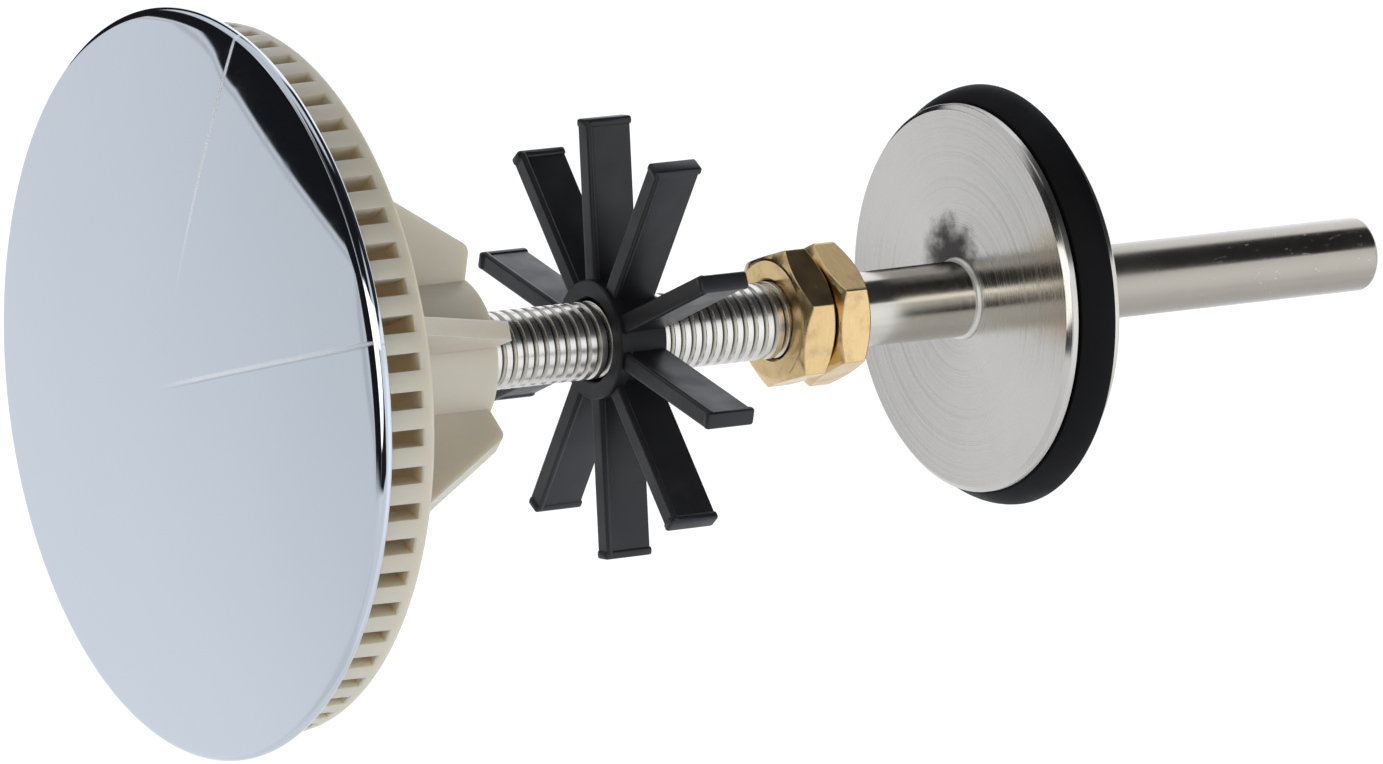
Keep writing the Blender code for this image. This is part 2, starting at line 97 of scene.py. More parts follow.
COMB_RADIUS = 35.5 * MM
COMB_WALL = 2.2 * MM
COMB_DEPTH = 6.45 * MM
COMB_LIP = 1.1 * MM
COMB_FOOT_ROUND = 0.5 * MM
SLOT_FLOOR = 1.4 * MM
COMB_HEIGHT = 6.69 * MM
COMB_EDGE = 0.14 * MM
CARRIER_RING = RIM_HEIGHT - COMB_DEPTH
SLOTS = 60
SLOT_SHARE = 0.46
FIRST_SLOT = -90.3
FLANGE_INNER = 27.0 * MM
HUB_RADIUS = 8.2 * MM
HUB_BORE = 4.4 * MM
HUB_BORE_DEPTH = 28.5 * MM
HUB_EDGE = 0.3 * MM
POCKET_RADIUS = 5.8 * MM
POCKET_DEPTH = 12.6 * MM
FINS = 6
TEETH_TO_FIRST_FIN = 1.5
FIN_THICKNESS = 1.9 * MM
FIN_TIP = 11.8 * MM
FIN_ROOT = 26.0 * MM
FIN_TIP_ROUND = 1.4 * MM
FIN_EDGE = 0.25 * MM
FIN_STEP = 0.3 * MM

THREAD_RADIUS = 4.0 * MM
THREAD_ROOT = 3.46 * MM
THREAD_PITCH = 1.25 * MM
THREAD_SOFTENING = 0.06 * MM
THREAD_END_CHAMFER = 0.9 * MM
SHANK_RADIUS = 3.85 * MM
SHANK_TOP_CHAMFER = 0.3 * MM
COLLAR_RADIUS = 4.3 * MM
STEM_END_ROUND = 0.6 * MM
SEAT_GAP = 0.3 * MM
RUNNING_GAP = 0.1 * MM

# Places across one pitch of the thread, from the middle of a crest, as shares of the pitch
CREST_HALF = 0.25
SHOULDER = 0.29
FLANK_END = 0.45
ROOT_START = 0.48

DISC_RADIUS = 20.1 * MM
DISC_CHAMFER = 0.5 * MM
DISC_EDGE = 0.06 * MM
SEAL_RADIUS = 21.8 * MM
SEAL_TOP_RADIUS = 20.4 * MM
SEAL_TOP_ROUND = 0.15 * MM
SEAL_SEAT_RADIUS = 21.0 * MM
SEAL_LIP_HEIGHT = 0.6 * MM
SEAL_LIP_ROUND = 0.2 * MM
SEAL_BORE = 4.3 * MM
SEAL_BULGE = 0.34 * MM
PLATE_RADIUS = 19.8 * MM
PLATE_EDGE = 0.3 * MM

NUT_ACROSS_FLATS = 13.0 * MM
NUT_FACE_SHARE = 0.95
NUT_CHAMFER_ANGLE = 30.0
NUT_BORE = THREAD_RADIUS + RUNNING_GAP
NUT_BORE_CHAMFER = 0.2 * MM
NUT_EDGE = 0.12 * MM
NUT_CORNER_BLUNT = 0.5
UPPER_NUT_ANGLE = -84.0
LOWER_NUT_ANGLE = -74.5
CLAMP_NUT_ANGLE = -60.0

STAR_HEIGHT = 5.6 * MM
STAR_RADIUS = 22.4 * MM
STAR_BORE = 4.3 * MM
STAR_TUBE = 5.6 * MM
STAR_COLLAR = 6.1 * MM
STAR_COLLAR_HEIGHT = 1.2 * MM
STAR_ROUND = 0.15 * MM
STAR_ARMS = 10
FIRST_ARM = -79.0
ARM_THICKNESS = 1.5 * MM
BEAD_THICKNESS = 2.0 * MM
BEAD_WIDTH = 0.9 * MM
BEAD_PROUD = 0.2 * MM
BEAD_ROUND = 0.30 * MM
TIP_THICKNESS = 1.8 * MM

# Fineness of the meshes: steps round the axis, and what lies closer than even steps
COVER_STEPS = 360
CREASE_STEPS = (0, 0.5, 1.5, 2.5, 3.5, 4.5)
DOME_RINGS = 44
DOME_RING_SPREAD = 0.8
STEM_STEPS = 96
THREAD_STEPS = 72
THREAD_SPARE_TURNS = 2
DISC_STEPS = 256
SEAL_STEPS = 192
FLANK_STEPS = 8
NUT_SIDE_STEPS = (0, 0.35, 1, 2.5, 5, 8, 12, 17, 23, 30, 37, 43, 48, 52, 55, 57.5, 59, 59.65)

# Colours, as linear light. A pair is what a finish wanders between
CHROME_TONES = ((0.585, 0.630, 0.680), (0.615, 0.660, 0.705))
# Painted highlight along the cover's creases, and painted shade under the lower crease
PAINTED_CREASE_HIGHLIGHT = (0.93, 0.95, 0.98)
CREASE_SHADE = (0.40, 0.43, 0.47)
THREAD_TONES = ((0.68, 0.66, 0.61), (0.76, 0.74, 0.69))
SHANK_TONES = ((0.57, 0.545, 0.49), (0.62, 0.595, 0.54))
LOWER_ROD_TONES = ((0.37, 0.34, 0.29), (0.42, 0.39, 0.335))
# Painted shade in the thread's roots
PAINTED_GROOVE_SHADE = (0.20, 0.185, 0.165)
NICK_TONE = (0.62, 0.60, 0.57)
# Painted highlight on the bead where the rod leaves the disc
COLLAR_PAINTED_HIGHLIGHT = (0.78, 0.765, 0.73)
DISC_TONES = ((0.60, 0.58, 0.535), (0.66, 0.64, 0.595))
DISC_PATCH_TONE = (0.57, 0.54, 0.495)
# Painted dark reflection on the disc beside the rod
PAINTED_REFLECTION_TONE = (0.030, 0.026, 0.024)
BRASS_TONES = ((0.65, 0.462, 0.224), (0.74, 0.545, 0.272))
TARNISH_TONE = (0.33, 0.22, 0.12)
IVORY_TONES = ((0.610, 0.566, 0.45), (0.650, 0.606, 0.49))
# Painted warm shade on the flange in the depth of the slots
IVORY_PAINTED_CAVITY_SHADE = (0.58, 0.50, 0.33)
IVORY_GLOW_DEPTHS = (1.0, 0.78, 0.45)
PLASTIC_TONES = ((0.010, 0.010, 0.012), (0.016, 0.016, 0.019))
# Painted shade on the sheen, from the star's middle to its arms
STAR_SHEEN_PAINTED_SHADE = ((0.45, 0.45, 0.45), (1.0, 1.0, 1.0))
RUBBER_TONES = ((0.0035, 0.0035, 0.004), (0.006, 0.006, 0.0065))
DUST_TONE = (0.05, 0.05, 0.049)

# Marks on the finishes
# Widths, fades and offsets of the painted crease highlights and of the painted shade under the lower crease
UPPER_CREASE_HALF_WIDTHS = (0.14 * MM, 0.21 * MM)
UPPER_CREASE_FADE = (9 * MM, 26 * MM)
LOWER_CREASE_FADE = (-1 * MM, 8 * MM)
LOWER_CREASE_OFFSET = 0.10 * MM
CREASE_SHADE_OFFSET = 0.17 * MM
NICKED_HEIGHTS = (30 * MM, 12 * MM)
# Place, size and ragged edge of the painted dark reflection on the disc
PAINTED_REFLECTION_PLACE = (4.0 * MM, 0.4 * MM, DISC_HIGH.z)
PAINTED_REFLECTION_RADII = (5.6 * MM, 2.2 * MM)
PAINTED_REFLECTION_RAGGED = 0.8 * MM

# The photograph's view, fitted to the circles of the cover, disc and seal
CAMERA_PLACE = (0.0, -1.01836, 0.72048)
CAMERA_RIGHT = (-0.11164, -0.52708, -0.84246)
CAMERA_UP = (0.99374, -0.05538, -0.09704)
CAMERA_BACK = (0.00449, -0.84801, 0.52996)
CAMERA_LENS = 307.904
CAMERA_SENSOR = 36.0
CAMERA_CLIP = (0.05, 20.0)


# Meshes

def mesh_object(name, shape, sharp=30.0):
    """A shown object from a bmesh, shaded smooth up to an angle between faces."""
    bmesh.ops.recalc_face_normals(shape, faces=shape.faces)
    mesh = bpy.data.meshes.new(name)
    shape.to_mesh(mesh)
    shape.free()
    mesh.shade_smooth()
    mesh.set_sharp_from_angle(angle=radians(sharp))
    obj = bpy.data.objects.new(name, mesh)
    bpy.context.scene.collection.objects.link(obj)
    return obj


def swept(columns, closed_profile, row_shift=0):
    """Faces between neighbouring columns of points that go once round the axis.

    Rows of the last column join rows of the first that lie row_shift further on.
    """
    shape = bmesh.new()
    made = [[shape.verts.new(point) for point in column] for column in columns]
    rows = len(columns[0])
    spans = rows if closed_profile else rows - 1
    for i, column in enumerate(made):
        last = i == len(made) - 1
        beside = made[0] if last else made[i + 1]
        shift = row_shift if last else 0
        for row in range(spans):
            above = (row + 1) % rows
            if max(row, above) + shift >= rows:
                continue
            shape.faces.new((column[row], beside[row + shift], beside[above + shift], column[above]))
    bmesh.ops.remove_doubles(shape, verts=shape.verts, dist=MERGE)
    return shape


def around(radius, height, angle):
    return (radius * cos(radians(angle)), radius * sin(radians(angle)), height)


def turns_of(count, first=0.0):
    """Even angles round the axis."""
    return [first + 360 * i / count for i in range(count)]


def turned(profile, steps, closed_profile):
    columns = [[around(radius, height, angle) for radius, height in profile] for angle in turns_of(steps)]
    return swept(columns, closed_profile)


def arc(centre, radius, start, end, pieces):
    points = []
    for i in range(pieces + 1):
        angle = radians(start + (end - start) * i / pieces)
        points.append((centre[0] + radius * cos(angle), centre[1] + radius * sin(angle)))
    return points


def smoothstep(value, low, high):
    share = min(1.0, max(0.0, (value - low) / (high - low)))
    return share * share * (3 - 2 * share)


def rounded_block(low, high, edge):
    """A box between two corners with round edges, as a bmesh."""
    shape = bmesh.new()
    size = [b - a for a, b in zip(low, high)]
    centre = [(a + b) / 2 for a, b in zip(low, high)]
    placed = Matrix.Translation(centre) @ Matrix.Diagonal((*size, 1.0))
    bmesh.ops.create_cube(shape, size=1.0, matrix=placed)
    bmesh.ops.bevel(shape, geom=shape.edges[:], offset=edge, segments=3, profile=0.5, affect='EDGES')
    return shape


def united(obj, others, sharp):
    """Join closed meshes to an object by boolean union, remove the joined ones and shade the whole."""
    for other in others:
        union = obj.modifiers.new("union", 'BOOLEAN')
        union.operation = 'UNION'
        union.solver = 'EXACT'
        union.object = other
    graph = bpy.context.evaluated_depsgraph_get()
    mesh = bpy.data.meshes.new_from_object(obj.evaluated_get(graph))
    obj.modifiers.clear()
    obj.data = mesh
    for other in others:
        bpy.data.objects.remove(other, do_unlink=True)
    mesh.shade_smooth()
    mesh.set_sharp_from_angle(angle=radians(sharp))
    return obj


def copies_about_axis(shape, angles):
    """One bmesh that holds the given one turned to each angle."""
    mesh = bpy.data.meshes.new("pattern")
    shape.to_mesh(mesh)
    shape.free()
    joined = bmesh.new()
    for angle in angles:
        copy = mesh.copy()
        copy.transform(Matrix.Rotation(radians(angle), 4, 'Z'))
        joined.from_mesh(copy)
        bpy.data.meshes.remove(copy)
    bpy.data.meshes.remove(mesh)
    return joined


# Cover

def dome_radius():
    inner = COVER_RADIUS - ROLL
    return (inner ** 2 + COVER_RISE ** 2 - ROLL ** 2) / (2 * (COVER_RISE - ROLL))


def dome_height(radius, offset=0.0):
    sphere = dome_radius()
    return COVER_RISE - sphere + sqrt((sphere - offset) ** 2 - radius ** 2)


def pressed_depth(radius, angle):
    """How far the skin lies under the dome: the sector between the creases is pressed in."""
    reach = max(0.0, (radius - SECTOR_INNER) / (COVER_RADIUS - SECTOR_INNER))
    into_start = radians(angle - SECTOR_START) * radius
    into_end = radians(SECTOR_END - angle) * radius
    inside = smoothstep(min(into_start, into_end), -CREASE_HALF_WIDTH, CREASE_HALF_WIDTH)
    return SECTOR_DROP * reach * inside


def cover_angles():
    """Even steps, with closer ones at both creases."""
    angles = {round(angle, 4) for angle in turns_of(COVER_STEPS, -180)}
    for crease in (SECTOR_START, SECTOR_END):
        for step in CREASE_STEPS:
            angles |= {crease - step, crease + step}
    return sorted(angles)


def cover_skin():
    """Radius and height over the rim of each ring of the dome and the rolled edge."""
    inner = COVER_RADIUS - ROLL
    tangent = degrees(atan2(dome_radius() - COVER_RISE, inner))
    skin = [(0.0, COVER_RISE)]
    for i in range(1, DOME_RINGS + 1):
        radius = inner * (i / DOME_RINGS) ** DOME_RING_SPREAD
        skin.append((radius, dome_height(radius)))
    return skin + arc((inner, 0), ROLL, tangent, 0, 10)[1:]


def cover_underside():
    """The curled edge, the sheet's inner side and the spigot ring that holds the moulding."""
    curl_centre = (COVER_RADIUS - CURL, CURL - SKIRT)
    inside = COVER_RADIUS - SHEET
    spigot_inner = SPIGOT_OUTER - SPIGOT_WALL
    spigot_end = dome_height(SPIGOT_OUTER, SHEET) - SPIGOT_DEPTH
    under = arc(curl_centre, CURL, 0, -90, 5)
    under += [(inside, -SKIRT), (inside, dome_height(inside, SHEET))]
    under += [(SPIGOT_OUTER, dome_height(SPIGOT_OUTER, SHEET)), (SPIGOT_OUTER, spigot_end)]
    under += [(spigot_inner, spigot_end)]
    under += [(spigot_inner * share, dome_height(spigot_inner * share, SHEET))
              for share in (1, 0.75, 0.5, 0.25, 0)]
    return under


def cover_piece():
    skin, under = cover_skin(), cover_underside()
    columns = []
    for angle in cover_angles():
        pressed = [(radius, height - pressed_depth(radius, angle)) for radius, height in skin]
        columns.append([around(radius, RIM_HEIGHT + height, angle) for radius, height in pressed + under])
    return mesh_object("cover_shell", swept(columns, False), sharp=50)


# Strainer carrier

def comb_column(angle, edge_cut, slotted):
    """One cross-section of the ring. A slotted one has its wall folded down to the slot's floor."""
    outer = COMB_RADIUS - edge_cut
    inner = COMB_RADIUS - COMB_WALL
    top = SLOT_FLOOR if slotted else COMB_HEIGHT
    lip = COMB_EDGE if slotted else 0
    foot_centre = (COMB_RADIUS - COMB_FOOT_ROUND, COMB_FOOT_ROUND)
    rows = [(inner, COMB_LIP), (inner, min(top, COMB_HEIGHT - edge_cut)), (inner + edge_cut, top)]
    rows += [(outer - lip, top), (outer, top - lip)]
    rows += [(COMB_RADIUS, SLOT_FLOOR - COMB_EDGE)]
    rows += arc(foot_centre, COMB_FOOT_ROUND, 0, -90, 4)
    rows += [(FLANGE_INNER + COMB_EDGE, 0), (FLANGE_INNER, COMB_EDGE)]
    rows += [(FLANGE_INNER, COMB_LIP - COMB_EDGE), (FLANGE_INNER + COMB_EDGE, COMB_LIP)]
    return [around(radius, CARRIER_RING + height, angle) for radius, height in rows]


def comb_ring():
    pitch = 360 / SLOTS
    slot_half = pitch * SLOT_SHARE / 2
    edge = degrees(COMB_EDGE / COMB_RADIUS)
    slot = [(-slot_half, 0, True), (0, 0, True), (slot_half, 0, True)]
    tooth = [(slot_half, COMB_EDGE, False), (slot_half + edge, 0, False), (pitch / 2, 0, False)]
    tooth += [(pitch - slot_half - edge, 0, False), (pitch - slot_half, COMB_EDGE, False)]
    columns = [comb_column(middle + aside, edge_cut, slotted)
               for middle in turns_of(SLOTS, FIRST_SLOT) for aside, edge_cut, slotted in slot + tooth]
    return mesh_object("strainer_ring", swept(columns, True), sharp=40)


def fin_plate(hub_end, fin_top):
    """One fin along +X as a closed plate with rounded edges."""
    bottom = hub_end + FIN_STEP
    root = HUB_RADIUS - FIN_THICKNESS
    outer = COMB_RADIUS - COMB_WALL / 2
    taper = atan2(-bottom, FIN_ROOT - FIN_TIP)
    turn = pi / 2 - taper / 2
    centre = (FIN_TIP - FIN_TIP_ROUND / tan(turn), bottom + FIN_TIP_ROUND)
    outline = [(root, bottom)] + arc(centre, FIN_TIP_ROUND, -90, degrees(taper) - 90, 6)
    outline += [(FIN_ROOT, FIN_STEP), (outer, FIN_STEP), (outer, fin_top), (root, fin_top)]
    shape = bmesh.new()
    half = FIN_THICKNESS / 2
    near = [shape.verts.new((x, -half, z)) for x, z in outline]
    far = [shape.verts.new((x, half, z)) for x, z in outline]
    shape.faces.new(near)
    shape.faces.new(list(reversed(far)))
    count = len(outline)
    for i in range(count):
        shape.faces.new((near[i], far[i], far[(i + 1) % count], near[(i + 1) % count]))
    rims = [edge for edge in shape.edges if edge.verts[0].co.y == edge.verts[1].co.y]
    bmesh.ops.bevel(shape, geom=rims, offset=FIN_EDGE, segments=2, profile=0.5, affect='EDGES')
    bmesh.ops.transform(shape, matrix=Matrix.Translation((0, 0, CARRIER_RING)), verts=shape.verts)
    return shape


def hub_profile(hub_end, hub_top):
    """Radius and height over the ring of the hub with its bore and the pocket for the bush."""
    profile = [(0, hub_top), (HUB_RADIUS, hub_top)]
    profile += arc((HUB_RADIUS - HUB_EDGE, hub_end + HUB_EDGE), HUB_EDGE, 0, -90, 4)
    profile += [(POCKET_RADIUS, hub_end), (POCKET_RADIUS, hub_end + POCKET_DEPTH)]
    profile += [(HUB_BORE, hub_end + POCKET_DEPTH), (HUB_BORE, hub_end + HUB_BORE_DEPTH)]
    return profile + [(0, hub_end + HUB_BORE_DEPTH)]


def carrier_piece():
    hub_end = CARRIER_LOW.z - CARRIER_RING
    hub_top = CARRIER_HIGH.z - CARRIER_RING
    spigot_end = RIM_HEIGHT + dome_height(SPIGOT_OUTER, SHEET) - SPIGOT_DEPTH
    fin_top = spigot_end - SEAT_GAP - CARRIER_RING
    placed = [(radius, CARRIER_RING + height) for radius, height in hub_profile(hub_end, hub_top)]
    hub = mesh_object("strainer_hub", turned(placed, STEM_STEPS, False))
    first_fin = FIRST_SLOT + TEETH_TO_FIRST_FIN * 360 / SLOTS
    fins = mesh_object("fins", copies_about_axis(fin_plate(hub_end, fin_top), turns_of(FINS, first_fin)))
    whole = united(comb_ring(), [united(hub, [fins], sharp=30)], sharp=35)
    whole.name = "strainer_moulding"
    return whole


# Stem

def thread_rows():
    """Share of a pitch and radius of each row of one turn of thread."""
    crest = THREAD_RADIUS - 2 * CLEAR
    half = [(CREST_HALF, crest), (SHOULDER, crest - THREAD_SOFTENING)]
    half += [(FLANK_END, THREAD_ROOT + THREAD_SOFTENING), (ROOT_START, THREAD_ROOT)]
    other_half = [(1 - share, radius) for share, radius in reversed(half[1:])]
    return [(-CREST_HALF, crest)] + half + other_half


def threaded_length(name, low, high):
    """A right-hand thread between two heights, cut square at both ends and capped."""
    rows = thread_rows()
    turns = int((high - low) / THREAD_PITCH) + 2 * THREAD_SPARE_TURNS
    columns = []
    for step in range(THREAD_STEPS):
        round_share = step / THREAD_STEPS
        rise = low + THREAD_PITCH * (round_share - THREAD_SPARE_TURNS)
        columns.append([around(radius, rise + THREAD_PITCH * (turn + share), 360 * round_share)
                        for turn in range(turns) for share, radius in rows])
    shape = swept(columns, False, row_shift=len(rows))
    for height, outward in ((low, -1), (high, 1)):
        everything = shape.verts[:] + shape.edges[:] + shape.faces[:]
        bmesh.ops.bisect_plane(shape, geom=everything, dist=MERGE / 10, plane_co=(0, 0, height),
                               plane_no=(0, 0, outward), clear_outer=True)
    bmesh.ops.holes_fill(shape, edges=[edge for edge in shape.edges if edge.is_boundary], sides=0)
    return mesh_object(name, shape, sharp=12)


def shank_profile():
    """The plain rod from the thread down, with the rounded bead where it leaves the disc."""
    bead_low = DISC_HIGH.z + CLEAR
    bead = COLLAR_RADIUS - SHANK_RADIUS
    top, chamfer = LOWER_NUT_LOW.z, SHANK_TOP_CHAMFER
    end = STEM_END_ROUND
    profile = [(0, top), (SHANK_RADIUS - chamfer, top), (SHANK_RADIUS, top - chamfer)]
    profile += arc((SHANK_RADIUS, bead_low), bead, 80, 0, 8)
    profile += [(SHANK_RADIUS, bead_low), (SHANK_RADIUS, STEM_LOW.z + end)]
    profile += arc((SHANK_RADIUS - end, STEM_LOW.z + end), end, 0, -90, 8)[1:]
    return profile + [(0, STEM_LOW.z)]


def stem_pieces():
    shank = mesh_object("stem_shank", turned(shank_profile(), STEM_STEPS, False))
    top = STEM_HIGH.z - THREAD_END_CHAMFER
    thread = threaded_length("stem_thread", LOWER_NUT_LOW.z - SEAT_GAP, top)
    point = [(0, STEM_HIGH.z), (THREAD_ROOT - CLEAR, STEM_HIGH.z), (THREAD_ROOT, top), (0, top)]
    end = mesh_object("stem_point", turned(point, THREAD_STEPS, False))
    return [shank, thread, end]


# Valve

def disc_piece():
    bore = THREAD_RADIUS + RUNNING_GAP
    low, high = DISC_LOW.z, DISC_HIGH.z
    face, soft = DISC_RADIUS - DISC_CHAMFER, DISC_EDGE
    profile = [(bore, high), (face - soft, high), (face, high - soft / 2)]
    profile += [(DISC_RADIUS - soft, high - DISC_CHAMFER + soft), (DISC_RADIUS, high - DISC_CHAMFER - soft)]
    profile += [(DISC_RADIUS, low + soft), (DISC_RADIUS - soft, low), (bore, low)]
    return mesh_object("disc", turned(profile, DISC_STEPS, True), sharp=20)


def seal_piece():
    """The rubber flares from under the disc to a lip, and the plate is bedded into its underside."""
    low, high, soft = SEAL_LOW.z, SEAL_HIGH.z, SEAL_TOP_ROUND
    bed_height = PLATE_HIGH.z + SEAT_GAP
    bed_radius = PLATE_RADIUS + SEAT_GAP
    profile = [(SEAL_BORE, high)] + arc((SEAL_TOP_RADIUS - soft, high - soft), soft, 90, 55, 3)
    start = profile[-1]
    end = (SEAL_RADIUS, low + SEAL_LIP_HEIGHT)
    for i in range(1, FLANK_STEPS):
        share = i / FLANK_STEPS
        bulge = SEAL_BULGE * 4 * share * (1 - share)
        profile.append((start[0] + (end[0] - start[0]) * share + bulge,
                        start[1] + (end[1] - start[1]) * share))
    profile += arc((SEAL_RADIUS - SEAL_LIP_ROUND, end[1]), SEAL_LIP_ROUND, 0, -60, 6)
    profile += [(SEAL_SEAT_RADIUS, low), (bed_radius, low), (bed_radius, bed_height), (SEAL_BORE, bed_height)]
    return mesh_object("rubber_seal", turned(profile, SEAL_STEPS, True), sharp=40)


def plate_piece():
    low, high = PLATE_LOW.z, PLATE_HIGH.z
    profile = [(SEAL_BORE, high), (PLATE_RADIUS, high)]
    profile += arc((PLATE_RADIUS - PLATE_EDGE, low + PLATE_EDGE), PLATE_EDGE, 0, -90, 5)
    profile += [(SEAL_BORE, low)]
    return mesh_object("seal_backing", turned(profile, SEAL_STEPS, True), sharp=40)


# Nuts

def hexagon_radius(angle):
    """Distance from the axis to a hexagon's outline, at an angle from one of its corners."""
    return NUT_ACROSS_FLATS / 2 / cos(radians(angle % 60 - 30))


def nut_piece(name, low, high, corner):
    """A hexagon with chamfered faces, slightly blunt corners and soft edges."""
    face = NUT_ACROSS_FLATS / 2 * NUT_FACE_SHARE
    lead, edge = NUT_BORE_CHAMFER, NUT_EDGE
    slope = tan(radians(NUT_CHAMFER_ANGLE))
    columns = []
    for side in turns_of(6, corner):
        for step in NUT_SIDE_STEPS:
            outline = min(hexagon_radius(step), hexagon_radius(NUT_CORNER_BLUNT))
            drop = (outline - face) * slope
            rim = [(NUT_BORE, lead), (NUT_BORE + lead, 0), (face - edge, 0), (face + edge, edge * slope)]
            rim += [(outline - edge / 2, drop), (outline, drop + edge)]
            rows = [(radius, high - depth) for radius, depth in rim]
            rows += [(radius, low + depth) for radius, depth in reversed(rim)]
            columns.append([around(radius, height, side + step) for radius, height in rows])
    return mesh_object(name, swept(columns, True), sharp=16)


# Guide star

def star_arm(low, high):
    """One arm along +X: a plate with a bead along its upper edge and across its end."""
    root = (STAR_BORE + STAR_TUBE) / 2
    half, bead, tip_half = ARM_THICKNESS / 2, BEAD_THICKNESS / 2, TIP_THICKNESS / 2
    plate = rounded_block((root, -half, low + BEAD_PROUD),
                          (STAR_RADIUS - BEAD_WIDTH / 2, half, high - BEAD_WIDTH / 2), BEAD_ROUND / 2)
    edge = rounded_block((root, -bead, high - BEAD_WIDTH),
                         (STAR_RADIUS - BEAD_PROUD, bead, high - BEAD_PROUD), BEAD_ROUND)
    tip = rounded_block((STAR_RADIUS - BEAD_WIDTH, -tip_half, low), (STAR_RADIUS, tip_half, high), BEAD_ROUND)
    arm = united(mesh_object("arm", plate), [mesh_object("edge", edge), mesh_object("tip", tip)], sharp=30)
    shape = bmesh.new()
    shape.from_mesh(arm.data)
    bpy.data.objects.remove(arm, do_unlink=True)
    return shape


def star_piece():
    low, high, soft = STAR_LOW.z, STAR_LOW.z + STAR_HEIGHT, STAR_ROUND
    arms = mesh_object("arms", copies_about_axis(star_arm(low, high), turns_of(STAR_ARMS, FIRST_ARM)))
    collar_low = high - STAR_COLLAR_HEIGHT
    top = high + BEAD_PROUD
    profile = [(STAR_BORE, top - soft), (STAR_BORE + soft, top), (STAR_COLLAR - soft, top)]
    profile += [(STAR_COLLAR, top - soft), (STAR_COLLAR, collar_low)]
    profile += [(STAR_TUBE, collar_low - BEAD_PROUD), (STAR_TUBE, low + soft), (STAR_TUBE - soft, low)]
    profile += [(STAR_BORE, low)]
    return united(mesh_object("star", turned(profile, STEM_STEPS, True)), [arms], sharp=38)


# Node helpers

class Graph:
    """Short calls that add nodes to one node tree. They take values or sockets and give back a socket."""

    def __init__(self, tree):
        self.tree = tree

    def add(self, kind, inputs=None, **settings):
        """A new node, with its inputs set to values or linked to sockets."""
        made = self.tree.nodes.new(kind)
        for key, value in settings.items():
            setattr(made, key, value)
        for key, value in (inputs or {}).items():
            if isinstance(value, bpy.types.NodeSocket):
                self.tree.links.new(value, made.inputs[key])
            else:
                made.inputs[key].default_value = value
        return made

    def calc(self, operation, *values):
        return self.add('ShaderNodeMath', dict(enumerate(values)), operation=operation).outputs[0]

    def product(self, first, *others):
        for other in others:
            first = self.calc('MULTIPLY', first, other)
        return first

    def total(self, first, *others):
        for other in others:
            first = self.calc('ADD', first, other)
        return first

    def between(self, value, low, high, out_low=0.0, out_high=1.0):
        """A smooth step of the value from one output to another. Low may lie above high."""
        inputs = {"Value": value, "From Min": low, "From Max": high, "To Min": out_low, "To Max": out_high}
        return self.add('ShaderNodeMapRange', inputs, interpolation_type='SMOOTHSTEP').outputs[0]

    def blend(self, share, first, second):
        """A colour that goes from the first to the second as the share goes from 0 to 1."""
        first, second = [value if isinstance(value, bpy.types.NodeSocket) else (*value, 1.0)
                         for value in (first, second)]
        return self.add('ShaderNodeMix', {0: share, 6: first, 7: second}, data_type='RGBA').outputs[2]

    def noise(self, vector, scale, detail=3.0, roughness=0.55):
        inputs = {"Vector": vector, "Scale": scale, "Detail": detail, "Roughness": roughness}
        return self.add('ShaderNodeTexNoise', inputs).outputs["Fac"]

    def stretched(self, vector, scale):
        return self.add('ShaderNodeMapping', {"Vector": vector, "Scale": scale}).outputs[0]

    def measure(self, operation, first, second):
        """A number from two vectors, such as their dot product or distance."""
        return self.add('ShaderNodeVectorMath', {0: first, 1: second}, operation=operation).outputs["Value"]


class Finish(Graph):
    """A Principled material with the piece's own coordinates, its radius and its height at hand."""

    def __init__(self, name, roughness, metallic=0.0):
        self.material = bpy.data.materials.new(name)
        self.material.use_nodes = True
        super().__init__(self.material.node_tree)
        self.shader = self.tree.nodes["Principled BSDF"]
        self.shader.inputs["Roughness"].default_value = roughness
        self.shader.inputs["Metallic"].default_value = metallic
        self.place = self.add('ShaderNodeTexCoord').outputs["Object"]
        x, y, self.height = self.add('ShaderNodeSeparateXYZ', {0: self.place}).outputs
        self.radius = self.calc('SQRT', self.total(self.product(x, x), self.product(y, y)))

    def set(self, name, value):
        if isinstance(value, bpy.types.NodeSocket):
            self.tree.links.new(value, self.shader.inputs[name])
        else:
            self.shader.inputs[name].default_value = value

    def relief(self, height, depth):
        self.set("Normal", self.add('ShaderNodeBump', {"Height": height, "Distance": depth}).outputs[0])


# Finishes

def off_crease(made, crease):
    """Distance of a point on the cover to one side of a crease, and its distance along it."""
    along = (cos(radians(crease)), sin(radians(crease)), 0.0)
    aside = (-along[1], along[0], 0.0)
    return [made.measure('DOT_PRODUCT', made.place, way) for way in (aside, along)]


def upper_crease_painted_highlight(made):
    """A painted highlight line that widens and brightens towards the rim."""
    aside, along = off_crease(made, SECTOR_END)
    width = made.between(along, 14 * MM, COVER_RADIUS, *UPPER_CREASE_HALF_WIDTHS)
    near = made.between(made.calc('DIVIDE', made.calc('ABSOLUTE', aside), width), 1.5, 0.6)
    return made.product(near, made.between(along, *UPPER_CREASE_FADE))


def lower_crease_painted_highlight_and_shade(made):
    """A fainter painted highlight line, and a thin painted shade along its lower side."""
    aside, along = off_crease(made, SECTOR_START)
    off_line = made.calc('ABSOLUTE', made.calc('SUBTRACT', aside, LOWER_CREASE_OFFSET))
    line = made.product(made.between(off_line, 0.30 * MM, 0.06 * MM),
                        made.between(along, *LOWER_CREASE_FADE, 0.0, 0.75))
    off_shade = made.calc('ABSOLUTE', made.total(aside, CREASE_SHADE_OFFSET))
    shade = made.product(made.between(off_shade, 0.18 * MM, 0.05 * MM),
                         made.between(along, *LOWER_CREASE_FADE, 0.0, 0.5))
    return line, shade


